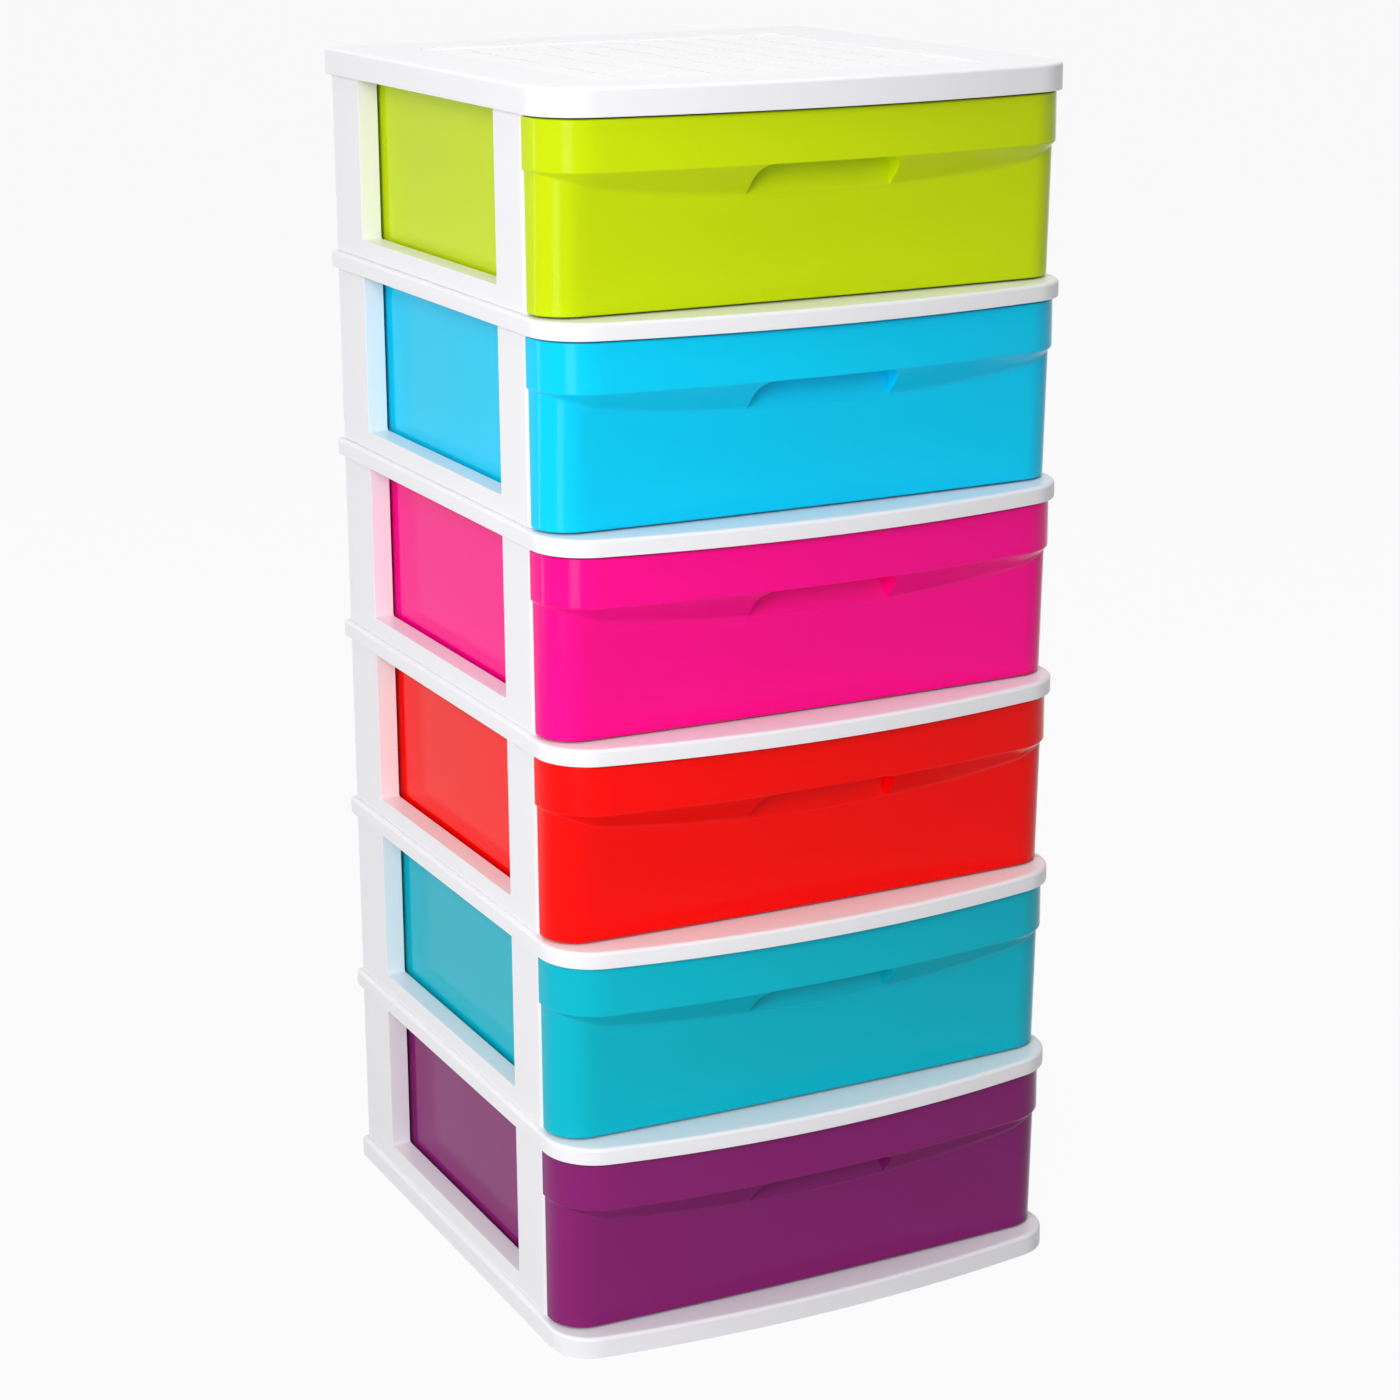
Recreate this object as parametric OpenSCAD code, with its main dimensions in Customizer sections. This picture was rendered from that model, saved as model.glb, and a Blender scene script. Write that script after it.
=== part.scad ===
// Drawer tower: stacked plastic trays on clip-in side frames, with one sliding drawer per tier.
// Millimetres. Origin at the middle of the footprint on the floor; +X right, +Y back, +Z up.

/* [Tower] */
// Number of drawers, one above the other
tiers = 6; // [2:1:8]
// Width over the outer faces of the side frames
frame_w = 390; // [340:5:460]
// Depth of the tower over its rims
rim_d = 420; // [400:5:480]
// Clear height between a deck and the tray above it
tier_h = 130; // [115:1:170]
// Height of the base tray
base_h = 15; // [13:1:25]
// Height of each shelf
shelf_h = 12; // [11.5:0.5:20]
// Height of the top panel
top_h = 19; // [15:1:30]

/* [Trays] */
// How far the rims stand out past the side frames
rim_overhang = 4; // [2:0.5:8]
// How far a rim's front bows out at its middle
rim_bow = 23; // [5:1:35]
// Radius of a rim's front corners
rim_corner_r = 40; // [20:1:50]
// Radius of a rim's rear corners
rear_corner_r = 6; // [4:1:12]
// Rounding along the top edge of a rim
rim_edge = 2.5; // [1:0.5:4]
// Thickness of the walls under a rim and of the ribs
rim_wall = 3; // [2:0.5:4]
// Thickness of the deck that a drawer slides on
deck_t = 2.4; // [1.6:0.2:4]
// How far the base's front stands back behind the rims above it
base_setback = 7.5; // [0:0.5:12]
// How far the base's front bows out at its middle
base_bow = 17; // [5:1:30]
// Radius of the base's front corners
base_corner_r = 32; // [20:1:45]
// Spacing of the ribs under the base
base_rib_pitch = 95; // [60:5:110]

/* [Top panel] */
// Thickness of the top panel's border
top_t = 4; // [3.2:0.2:6]
// Width of the border round the sunk field
top_border = 53; // [35:1:70]
// Gap between the sunk field and the border in front of it, from the rim's corner line
top_front_border = 34; // [20:1:60]
// Radius of the sunk field's corners
field_r = 8; // [3:1:20]
// Depth of the sunk field
field_depth = 1.6; // [0.8:0.2:2]
// Number of grooves along the field
groove_count = 8; // [3:1:12]
// Width of a groove
groove_w = 2.4; // [1:0.2:4]
// Depth of a groove
groove_depth = 0.6; // [0.2:0.2:0.8]
// Distance from the ends of the grooves to the field's edge
groove_margin = 8; // [4:1:20]

/* [Side frames] */
// Thickness of a side frame
side_t = 15; // [13:0.5:20]
// How far the side frames stand back behind the rims' front
side_setback = 67; // [62:1:90]
// How far the side frames stand in from the rear rim
side_inset = 7; // [4:1:12]
// Depth of the front post
front_post_d = 47; // [40:1:60]
// Depth of the rear post
rear_post_d = 52.5; // [42:0.5:65]
// Height of the rail under the window
rail_h = 14; // [10:1:25]
// Radius of the posts' front outer edge
post_edge_r = 4.5; // [2:0.5:6]
// Wall of the hollow posts and rails
side_wall = 3; // [2:0.5:4]
// Height of the solid foot and head of a post
post_end_h = 8; // [5:1:14]
// Number of ribs across each hollow post
post_ribs = 2; // [1:1:4]

/* [Tenons] */
// Length of a tenon that clips a side frame into a tray
tenon_l = 30; // [20:1:34]
// Width of a tenon
tenon_w = 8; // [5:0.5:9]
// Height of a tenon
tenon_h = 5; // [3:0.5:5.2]
// Clearance round a tenon in its socket
tenon_gap = 0.3; // [0.2:0.05:0.5]

/* [Drawer front] */
// How far the lip's front stands back behind the rims
lip_setback = 6.5; // [3:0.5:12]
// Height of the lip along the top of the front
lip_h = 34; // [25:1:45]
// How far the lip bows out at its middle
lip_bow = 18.5; // [5:0.5:30]
// Radius of the lip's corners
lip_corner_r = 40; // [30:1:48]
// How far the lip stands out past the face at each side
lip_side = 1.5; // [0.5:0.5:3]
// Height of the slope under the lip, at the middle of the front
slope_h = 22; // [19:1:30]
// Depth of the slope from the lip back to the face, at the middle of the front
slope_d = 21.5; // [15:0.5:24]
// How far the face bows out at its middle
face_bow = 4.3; // [2:0.1:10]
// Radius of the face's corners
face_corner_r = 25.5; // [15:0.5:30]
// How far the face leans back from its top to its foot
face_lean = 4; // [1:0.5:6]
// Rounding along the foot of the face and the top of the lip
front_edge = 1.5; // [0.5:0.5:2]
// Wall of the drawer front
front_wall = 2.5; // [2:0.1:3.5]
// Gap between the drawer's top edge and the tray above it
top_gap = 1.2; // [0.8:0.1:3]
// Gap between the drawer front and the side frames' front posts
post_gap = 1.5; // [0.5:0.1:3]

/* [Finger notch] */
// Width of the notch at its foot
notch_w = 108; // [80:1:150]
// Radius of the notch's top corners
notch_r = 10; // [6:1:18]
// How far the notch reaches up behind the lip
notch_up = 8; // [4:1:14]

/* [Drawer bin] */
// Gap between the bin and the side frames
bin_gap = 3; // [1.5:0.5:6]
// How far the bin's back stands in from the side frames' rear edge
bin_back_inset = 18; // [8:1:40]
// Wall of the bin
bin_wall = 2; // [1.6:0.1:3]
// Thickness of the bin's floor
bin_floor = 2.2; // [1.6:0.1:3]
// Radius of the bin's rear corners
bin_corner_r = 12; // [4:1:25]
// Width of the skids under the bin
skid_w = 6; // [4:0.5:12]
// Height of the skids
skid_h = 1; // [0.6:0.2:3]
// Distance from the bin's side to the middle of a skid
skid_inset = 25; // [15:1:60]
// Running gap between the skids and the deck
slide_gap = 0.3; // [0.2:0.05:0.5]
// How far the drawer slides out before it meets its stop
travel = 300; // [150:10:300]
// Gap that is left at the stop at full travel
stop_gap = 1; // [0.5:0.5:3]
// Width of a stop tab on the bin's rear wall
tab_w = 20; // [10:1:40]
// Distance from the tower's centre to the middle of a stop tab
tab_x = 110; // [40:5:130]
// How far a stop tab rises past the rim's underside
tab_rise = 5; // [3:0.5:6]

/* [Hidden] */
// Steps along the small corner arcs and the wide bow
corner_steps = 8;
rear_steps = 3;
bow_steps = 24;
// Sides of a full circle in plan
round_steps = 48;
// Angle between the rings that round an edge
edge_turn = 30;
// Overshoot of cuts past a face
cut = 1;
// Smallest radius of a corner in an outline
sharp_r = 0.5;

frame_white = "#f1f1f3";
// Drawer colours from the bottom tier up
drawer_colors = ["#741e61", "#03a4b6", "#e70605", "#fb0683", "#04b9e3", "#b6ce06"];

pitch = tier_h + shelf_h;
rim_half = frame_w / 2 + rim_overhang;
rim_back = rim_d / 2;
rim_front = -rim_d / 2;
base_front = rim_front + base_setback;

side_out = frame_w / 2;
side_in = side_out - side_t;
side_back = rim_back - side_inset;
side_front = rim_front + side_setback;
window_front = side_front + front_post_d;
window_back = side_back - rear_post_d;
socket_depth = tenon_h + tenon_gap;
// The solid strips that carry the sockets reach this far in and out of the side frames
strip_in = side_in - tenon_gap;
strip_out = rim_half - rim_wall / 2;

face_half = frame_w / 2;
lip_half = face_half + lip_side;
panel_back = side_front - post_gap;
lip_front = rim_front + lip_setback;
face_front_top = lip_front + slope_d;
face_front_foot = face_front_top + face_lean;
top_z = tier_h - top_gap;
lip_z = top_z - lip_h;
slope_z = lip_z - slope_h;
// The inside of the slope lies this much higher than its outside
slope_shift = front_wall * tan(atan2(slope_d, slope_h) / 2);

bin_half = side_in - bin_gap;
bin_in = bin_half - bin_wall;
bin_back = side_back - bin_back_inset;
skid_x = bin_half - skid_inset;
foot_z = slide_gap + skid_h;
inside_z = foot_z + bin_floor;
tab_front = bin_back - bin_wall;
stop_y = tab_front - travel - stop_gap;

// Height of a tier's deck above the floor
function deck_z(tier) = base_h + (tier - 1) * pitch;

// Points along an arc from angle a0 to a1, both ends included
function arc(c, r, a0, a1, steps) =
    [for (i = [0:steps]) let (a = a0 + (a1 - a0) * i / steps) c + r * [cos(a), sin(a)]];

// Points inside a list, without its ends
function inner(list) = [for (i = [1:len(list) - 2]) list[i]];

// Plan outline with straight sides and back, round corners and a front that bows out,
// counter-clockwise from the right rear corner. Every outline has the same number of points.
function bowed(half_w, back, front, bow, corner_r, back_r) =
    let (
        bow_r = (half_w * half_w + bow * bow) / (2 * bow),
        bow_c = [0, front + bow_r],
        corner_x = half_w - corner_r,
        corner_y = bow_c[1] - sqrt(pow(bow_r - corner_r, 2) - pow(corner_x, 2)),
        turn = atan2(corner_x, bow_c[1] - corner_y)
    )
    concat(
        arc([half_w - back_r, back - back_r], back_r, 0, 90, rear_steps),
        arc([back_r - half_w, back - back_r], back_r, 90, 180, rear_steps),
        arc([-corner_x, corner_y], corner_r, 180, 270 - turn, corner_steps),
        inner(arc(bow_c, bow_r, 270 - turn, 270 + turn, bow_steps)),
        arc([corner_x, corner_y], corner_r, 270 + turn, 360, corner_steps)
    );

function rim_outline(inset = 0) =
    bowed(rim_half - inset, rim_back - inset, rim_front + inset,
        rim_bow, rim_corner_r - inset, max(rear_corner_r - inset, sharp_r));

function base_outline(inset = 0) =
    bowed(rim_half - inset, rim_back - inset, base_front + inset,
        base_bow, base_corner_r - inset, max(rear_corner_r - inset, sharp_r));

function lip_outline(inset = 0) =
    bowed(lip_half - inset, panel_back, lip_front + inset,
        lip_bow, lip_corner_r - inset, sharp_r);

function face_outline(front, inset = 0) =
    bowed(face_half - inset, panel_back, front + inset,
        face_bow, face_corner_r - inset, sharp_r);

// Solid over a stack of outlines with equal numbers of points, lowest first
module stack(outlines, heights) {
    n = len(outlines[0]);
    last = len(outlines) - 1;
    points = [for (k = [0:last]) for (p = outlines[k]) [p[0], p[1], heights[k]]];
    walls = [
        for (k = [0:last - 1])
            for (i = [0:n - 1])
                let (a = k * n + i, b = k * n + (i + 1) % n)
                    each [[a, a + n, b + n], [a, b + n, b]]
    ];
    foot = [for (i = [0:n - 1]) i];
    head = [for (i = [n - 1:-1:0]) last * n + i];
    polyhedron(points, concat([foot], walls, [head]), convexity = 4);
}

// Heights and insets of the rings that round off the top edge of a slab
function edge_heights(h, edge) = [for (a = [0:edge_turn:90]) h - edge * (1 - sin(a))];
function edge_insets(edge) = [for (a = [0:edge_turn:90]) edge * (1 - cos(a))];

// Box given by its low and high corners
module block(low, high) {
    translate(low) cube(high - low);
}

// Rectangle with round corners, centred on X, between two Y values
module round_field(half_w, y0, y1, r) {
    translate([-half_w + r, y0]) square([2 * (half_w - r), y1 - y0]);
    translate([-half_w, y0 + r]) square([2 * half_w, y1 - y0 - 2 * r]);
    for (x = [r - half_w, half_w - r])
        for (y = [y0 + r, y1 - r])
            translate([x, y]) circle(r = r, $fn = round_steps);
}

// Middles of the tenons along Y, one on each post
tenon_ys = [side_front + front_post_d / 2, side_back - rear_post_d / 2];
tenon_x = side_out - side_t / 2;

// Tenons of the right-hand side frame, or with a gap the sockets they clip into
module tenons(low_z, high_z, gap = 0) {
    for (y = tenon_ys)
        block([tenon_x - tenon_w / 2 - gap, y - tenon_l / 2 - gap, low_z],
            [tenon_x + tenon_w / 2 + gap, y + tenon_l / 2 + gap, high_z]);
}

module both_sides() {
    children();
    mirror([1, 0, 0]) children();
}

// Walls that stiffen a tray over the side frames, hollow above the window
module strips(low_z, high_z, hollow_z) {
    both_sides() difference() {
        block([strip_in, side_front - rim_wall, low_z], [strip_out, rim_back - rim_wall / 2, high_z]);
        block([strip_in + rim_wall, window_front + rim_wall, low_z - cut],
            [side_out, window_back - rim_wall, hollow_z]);
    }
}

// Hollow slab with a rounded rim, its plate on top, and strips and a stop rib below
module tray(h, plate) {
    insets = concat([0], edge_insets(rim_edge));
    heights = concat([0], edge_heights(h, rim_edge));
    plate_z = h - plate;
    difference() {
        stack([for (i = insets) rim_outline(i)], heights);
        translate([0, 0, -cut]) linear_extrude(plate_z + cut) polygon(rim_outline(rim_wall));
    }
    strips(0, plate_z + cut, plate_z);
    block([-side_in, stop_y - rim_wall, 0], [side_in, stop_y, plate_z + cut]);
}

module base() {
    plate_z = base_h - deck_t;
    insets = concat([0], edge_insets(rim_edge));
    heights = concat([0], edge_heights(base_h, rim_edge));
    color(frame_white) difference() {
        union() {
            difference() {
                stack([for (i = insets) base_outline(i)], heights);
                translate([0, 0, -cut]) linear_extrude(plate_z + cut) polygon(base_outline(rim_wall));
            }
            both_sides() block([strip_in, side_front - rim_wall, plate_z + deck_t / 2 - socket_depth],
                [rim_half - rim_wall + cut, rim_back - rim_wall + cut, base_h - deck_t / 2]);
            intersection() {
                linear_extrude(plate_z + deck_t / 2) polygon(base_outline(rim_wall - cut));
                union() {
                    for (x = [-base_rib_pitch, 0, base_rib_pitch])
                        block([x - rim_wall / 2, rim_front, 0], [x + rim_wall / 2, rim_back, base_h]);
                    for (y = [-base_rib_pitch, 0, base_rib_pitch])
                        block([-rim_half, y - rim_wall / 2, 0], [rim_half, y + rim_wall / 2, base_h]);
                }
            }
        }
        both_sides() tenons(base_h - socket_depth, base_h + cut, tenon_gap);
    }
}

module shelf(k) {
    color(frame_white) translate([0, 0, deck_z(k) + tier_h]) difference() {
        tray(shelf_h, deck_t);
        both_sides() {
            tenons(-cut, socket_depth, tenon_gap);
            tenons(shelf_h - socket_depth, shelf_h + cut, tenon_gap);
        }
    }
}

module top_panel() {
    field_half = rim_half - top_border;
    field_front = rim_front + rim_bow + top_front_border;
    field_back = rim_back - top_border;
    field_z = top_h - field_depth;
    groove_step = 2 * field_half / (groove_count + 1);
    color(frame_white) translate([0, 0, deck_z(tiers) + tier_h]) difference() {
        tray(top_h, top_t);
        both_sides() tenons(-cut, socket_depth, tenon_gap);
        translate([0, 0, field_z]) linear_extrude(field_depth + cut)
            round_field(field_half, field_front, field_back, field_r);
        for (i = [1:groove_count])
            translate([i * groove_step - field_half, 0, 0])
                block([-groove_w / 2, field_front + groove_margin, field_z - groove_depth],
                    [groove_w / 2, field_back - groove_margin, field_z + cut]);
    }
}

// Cells that hollow out a post or rail from its inner side, parted by upright or level ribs
module cells(y0, y1, z0, z1, count, along_y) {
    dy = along_y ? (y1 - y0 + side_wall) / count : 0;
    dz = along_y ? 0 : (z1 - z0 + side_wall) / count;
    cell_d = along_y ? dy - side_wall : y1 - y0;
    cell_h = along_y ? z1 - z0 : dz - side_wall;
    for (i = [0:count - 1])
        block([side_in - cut, y0 + i * dy, z0 + i * dz],
            [side_out - side_wall, y0 + i * dy + cell_d, z0 + i * dz + cell_h]);
}

// Side frame on the right: two hollow posts joined by the rail under the window
module side_right() {
    difference() {
        union() {
            linear_extrude(tier_h) {
                block_2d([side_in, side_front], [side_out - post_edge_r, window_front]);
                block_2d([side_in, side_front + post_edge_r], [side_out, window_front]);
                translate([side_out - post_edge_r, side_front + post_edge_r])
                    circle(r = post_edge_r, $fn = round_steps);
                block_2d([side_in, window_back], [side_out, side_back]);
            }
            block([side_in, window_front - cut, 0], [side_out, window_back + cut, rail_h]);
            tenons(-tenon_h, 0);
            tenons(tier_h, tier_h + tenon_h);
        }
        cells(side_front + side_wall, window_front - side_wall,
            post_end_h, tier_h - post_end_h, post_ribs + 1, false);
        cells(window_back + side_wall, side_back - side_wall,
            post_end_h, tier_h - post_end_h, post_ribs + 1, false);
        cells(window_front + side_wall, window_back - side_wall,
            side_wall, rail_h - side_wall, post_ribs + 2, true);
    }
}

module block_2d(low, high) {
    translate(low) square(high - low);
}

module side_frame(tier, left) {
    color(frame_white) translate([0, 0, deck_z(tier)])
        mirror([left ? 1 : 0, 0, 0]) side_right();
}

// Front of a drawer as a solid: the leaning face, and the lip with the even slope under it
module front_solid() {
    stack([face_outline(face_front_foot, front_edge), face_outline(face_front_foot),
            face_outline(face_front_top), face_outline(face_front_top)],
        [foot_z, foot_z + front_edge, slope_z, lip_z + cut]);
    stack(concat([lip_outline(slope_d), lip_outline()],
            [for (i = edge_insets(front_edge)) lip_outline(i)]),
        concat([slope_z, lip_z], edge_heights(top_z, front_edge)));
}

// Space inside the front, cut off a wall short of its back
module front_space() {
    intersection() {
        union() {
            stack([face_outline(face_front_foot, front_wall), face_outline(face_front_top, front_wall),
                    face_outline(face_front_top, front_wall)],
                [inside_z, slope_z + slope_shift, lip_z + slope_shift + cut]);
            stack([lip_outline(front_wall + slope_d), lip_outline(front_wall), lip_outline(front_wall)],
                [slope_z + slope_shift, lip_z + slope_shift, top_z + cut]);
        }
        block([-lip_half, rim_front, 0], [lip_half, panel_back - front_wall, tier_h]);
    }
}

// Shape of the finger notch seen from the front
module notch_shape(grow) {
    half = notch_w / 2 + grow;
    r = notch_r + grow;
    head = lip_z + grow;
    block_2d([-half, slope_z - grow], [half, head - r]);
    block_2d([notch_r - half, slope_z - grow], [half - notch_r, head + notch_up]);
    for (x = [r - half, half - r])
        translate([x, head - r]) circle(r = r, $fn = round_steps);
}

// Block in front of a plane, in the shape of the notch
module notch_block(back, grow) {
    translate([0, back, 0]) rotate([90, 0, 0])
        linear_extrude(back - rim_front + cut) notch_shape(grow);
}

// Everything under the lip, and the space behind its wall
module notch_limit() {
    block([-lip_half, rim_front - 2 * cut, 0], [lip_half, panel_back, lip_z]);
    linear_extrude(top_z) polygon(lip_outline(front_wall));
}

// Bin as a slab with round rear corners, between two heights
module bin_slab(half_w, front, back, r, z0, z1) {
    translate([0, 0, z0]) linear_extrude(z1 - z0) {
        block_2d([-half_w, front], [half_w, back - r]);
        block_2d([r - half_w, front], [half_w - r, back]);
        for (x = [r - half_w, half_w - r])
            translate([x, back - r]) circle(r = r, $fn = round_steps);
    }
}

module drawer(tier) {
    shade = drawer_colors[(tier - 1) % len(drawer_colors)];
    color(shade) translate([0, 0, deck_z(tier)]) {
        difference() {
            union() {
                front_solid();
                bin_slab(bin_half, panel_back - front_wall, bin_back, bin_corner_r, foot_z, top_z);
                both_sides() {
                    block([skid_x - skid_w / 2, panel_back - front_wall, slide_gap],
                        [skid_x + skid_w / 2, bin_back - bin_corner_r, foot_z + bin_floor / 2]);
                    block([tab_x - tab_w / 2, tab_front, inside_z],
                        [tab_x + tab_w / 2, bin_back, tier_h + tab_rise]);
                }
            }
            difference() {
                front_space();
                notch_block(face_front_top + front_wall, front_wall);
            }
            bin_slab(bin_in, panel_back - 2 * front_wall, bin_back - bin_wall, bin_corner_r - bin_wall,
                inside_z, top_z + cut);
            intersection() {
                notch_block(face_front_top, 0);
                notch_limit();
            }
        }
    }
}

base();
for (k = [1:tiers - 1])
    shelf(k);
top_panel();
for (k = [1:tiers])
    side_frame(k, true);
for (k = [1:tiers])
    side_frame(k, false);
for (k = [1:tiers])
    drawer(k);
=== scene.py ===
import math

import bmesh
import bpy
from mathutils import Matrix, Vector


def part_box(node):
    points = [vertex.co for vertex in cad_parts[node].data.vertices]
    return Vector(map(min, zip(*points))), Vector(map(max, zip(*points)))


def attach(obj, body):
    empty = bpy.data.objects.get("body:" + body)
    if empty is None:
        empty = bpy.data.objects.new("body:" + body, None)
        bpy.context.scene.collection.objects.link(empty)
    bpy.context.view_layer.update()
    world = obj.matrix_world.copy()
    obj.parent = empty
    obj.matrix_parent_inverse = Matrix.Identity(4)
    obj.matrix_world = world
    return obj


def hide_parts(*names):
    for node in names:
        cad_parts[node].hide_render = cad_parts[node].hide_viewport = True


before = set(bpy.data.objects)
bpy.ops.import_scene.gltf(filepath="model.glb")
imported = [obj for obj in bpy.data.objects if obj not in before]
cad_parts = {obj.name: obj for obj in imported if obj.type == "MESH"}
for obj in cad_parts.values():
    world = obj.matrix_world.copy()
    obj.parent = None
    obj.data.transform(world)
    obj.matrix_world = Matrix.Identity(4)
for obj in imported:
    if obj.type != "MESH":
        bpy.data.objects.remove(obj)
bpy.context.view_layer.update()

# ---- Shelves ---------------------------------------------------------------------------------
# Five trays of white polypropylene, injection moulded in one shape: a thin deck inside a hanging
# rim whose front bows out. Strips beside the deck hold the sockets that the side frames clip into,
# and a rib across the underside stops the drawer below from being pulled out.

# The frame gives the outer sizes.
tiers = sum(name.startswith("drawer_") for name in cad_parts)
shelf_low, shelf_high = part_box("shelf_1")
rim_half, rim_front, rim_back = shelf_high.x, shelf_low.y, shelf_high.y
shelf_h = shelf_high.z - shelf_low.z
side_low, side_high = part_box("side_right_1")
side_in, side_out = side_low.x, side_high.x
side_front, side_back = side_low.y, side_high.y

# The trays' own sizes: the rim, with its corners and edges, and the deck.
rim_bow = 0.023
rim_corner_r = 0.040
rim_rear_r = 0.006
rim_edge_r = 0.0025
rim_foot_r = 0.0006
sharp_r = 0.0005
rim_wall = 0.003
deck_t = 0.0024
stop_rib_y = -0.118
rear_steps, corner_steps, bow_steps = 5, 14, 60

# Where the side frames' posts stand, and the sockets for their tenons.
front_post_d = 0.047
rear_post_d = 0.0525
window_front = side_front + front_post_d
window_back = side_back - rear_post_d
tenon_l, tenon_w, tenon_h = 0.030, 0.008, 0.005
tenon_gap = 0.0003
socket_h = tenon_h + tenon_gap
tenon_x = (side_in + side_out) / 2
tenon_ys = [side_front + front_post_d / 2, side_back - rear_post_d / 2]
strip_in = side_in - tenon_gap
strip_out = rim_half - rim_wall / 2

# How far a cutter runs past what it cuts, and how near two points are taken for one.
overshoot = 0.001
weld = 0.000005


class Wire:
    """A value inside a material, so that sums on it can be written as sums."""

    def __init__(self, tree, socket=None):
        self.tree = tree
        self.socket = socket

    def node(self, kind, settings=None, sockets=None, out=0):
        """Adds a node: its settings first, then its sockets' values or links."""
        node = self.tree.nodes.new(kind)
        for name, value in (settings or {}).items():
            setattr(node, name, value)
        for name, value in (sockets or {}).items():
            if isinstance(value, Wire):
                self.tree.links.new(value.socket, node.inputs[name])
            else:
                node.inputs[name].default_value = value
        return Wire(self.tree, node.outputs[out])

    def math(self, operation, first, second):
        return self.node("ShaderNodeMath", {"operation": operation}, {0: first, 1: second})

    def __add__(self, other):
        return self.math("ADD", self, other)

    def __radd__(self, other):
        return self.math("ADD", other, self)

    def __sub__(self, other):
        return self.math("SUBTRACT", self, other)

    def __rsub__(self, other):
        return self.math("SUBTRACT", other, self)

    def __mul__(self, other):
        return self.math("MULTIPLY", self, other)

    def __rmul__(self, other):
        return self.math("MULTIPLY", other, self)

    def seen(self):
        """1 on rays that show the surroundings, to the eye, in a reflection or through glass."""
        path = self.tree.nodes.new("ShaderNodeLightPath")
        camera, glossy, through = (Wire(self.tree, path.outputs[name]) for name in
                                   ("Is Camera Ray", "Is Glossy Ray", "Is Transmission Ray"))
        return camera.math("MAXIMUM", camera.math("MAXIMUM", camera, glossy), through)

    def to(self, socket):
        self.tree.links.new(self.socket, socket)


def moulded_plastic(name, colour, roughness, mottle, gloss):
    """Injection-moulded polypropylene: the melt leaves faint clouds, the mould a fine grain."""
    refraction = 1.49
    cloud_scale, cloud_detail, cloud_haze = 9.0, 3.0, 0.10
    grain_scale, grain_detail, grain_haze = 900.0, 2.0, 0.06
    grain_depth = 0.00012
    grain_strength = 0.06
    material = bpy.data.materials.new(name)
    material.use_nodes = True
    tree = material.node_tree
    shader = tree.nodes["Principled BSDF"]
    shader.inputs["IOR"].default_value = refraction
    shader.inputs["Specular IOR Level"].default_value = gloss
    wire = Wire(tree)
    place = wire.node("ShaderNodeTexCoord", out="Object")
    clouds = wire.node("ShaderNodeTexNoise", {},
                       {"Vector": place, "Scale": cloud_scale, "Detail": cloud_detail}, "Fac")
    grain = wire.node("ShaderNodeTexNoise", {},
                      {"Vector": place, "Scale": grain_scale, "Detail": grain_detail}, "Fac")
    dark = [max(0.0, c * (1 - mottle)) for c in colour] + [1.0]
    light = [min(1.0, c * (1 + mottle)) for c in colour] + [1.0]
    tint = wire.node("ShaderNodeMix", {"data_type": "RGBA"}, {0: clouds, 6: dark, 7: light}, 2)
    tint.to(shader.inputs["Base Color"])
    haze = (clouds - 0.5) * cloud_haze + (grain - 0.5) * grain_haze
    (haze + roughness).to(shader.inputs["Roughness"])
    bump = wire.node("ShaderNodeBump", {}, {"Strength": grain_strength, "Distance": grain_depth,
                                            "Height": grain})
    bump.to(shader.inputs["Normal"])
    return material


def arc(middle, r, start, stop, steps):
    """Points on an arc in plan, both ends included, with the angles in degrees."""
    angles = [math.radians(start + (stop - start) * i / steps) for i in range(steps + 1)]
    return [(middle[0] + r * math.cos(a), middle[1] + r * math.sin(a)) for a in angles]


def bow_radius(half, bow):
    """Radius of a front that bows out by so much over its width."""
    return (half * half + bow * bow) / (2 * bow)


def tray_outline(half, back, front, bow, corner_r, rear_r, inset):
    """Plan outline of a tray, counter-clockwise from its right rear corner."""
    half, back, front = half - inset, back - inset, front + inset
    corner_r, rear_r = corner_r - inset, max(rear_r - inset, sharp_r)
    bow_r = bow_radius(half, bow)
    centre_y = front + bow_r
    corner_x = half - corner_r
    corner_y = centre_y - math.sqrt((bow_r - corner_r) ** 2 - corner_x ** 2)
    turn = math.degrees(math.atan2(corner_x, centre_y - corner_y))
    return (arc((half - rear_r, back - rear_r), rear_r, 0, 90, rear_steps)
            + arc((rear_r - half, back - rear_r), rear_r, 90, 180, rear_steps)
            + arc((-corner_x, corner_y), corner_r, 180, 270 - turn, corner_steps)
            + arc((0, centre_y), bow_r, 270 - turn, 270 + turn, bow_steps)[1:-1]
            + arc((corner_x, corner_y), corner_r, 270 + turn, 360, corner_steps))


def new_piece(name, mesh):
    """A piece at the origin, with its place in its mesh."""
    piece = bpy.data.objects.new(name, mesh)
    bpy.context.scene.collection.objects.link(piece)
    return piece


def skin(name, rings):
    """Closed shell over rings of points that have equal numbers, capped at both ends."""
    count = len(rings[0])
    faces = [list(reversed(range(count)))]
    for k in range(len(rings) - 1):
        for i in range(count):
            a, b = k * count + i, k * count + (i + 1) % count
            faces.append([a, b, b + count, a + count])
    faces.append([(len(rings) - 1) * count + i for i in range(count)])
    mesh = bpy.data.meshes.new(name)
    mesh.from_pydata([p for ring in rings for p in ring], [], faces)
    return new_piece(name, mesh)


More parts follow.
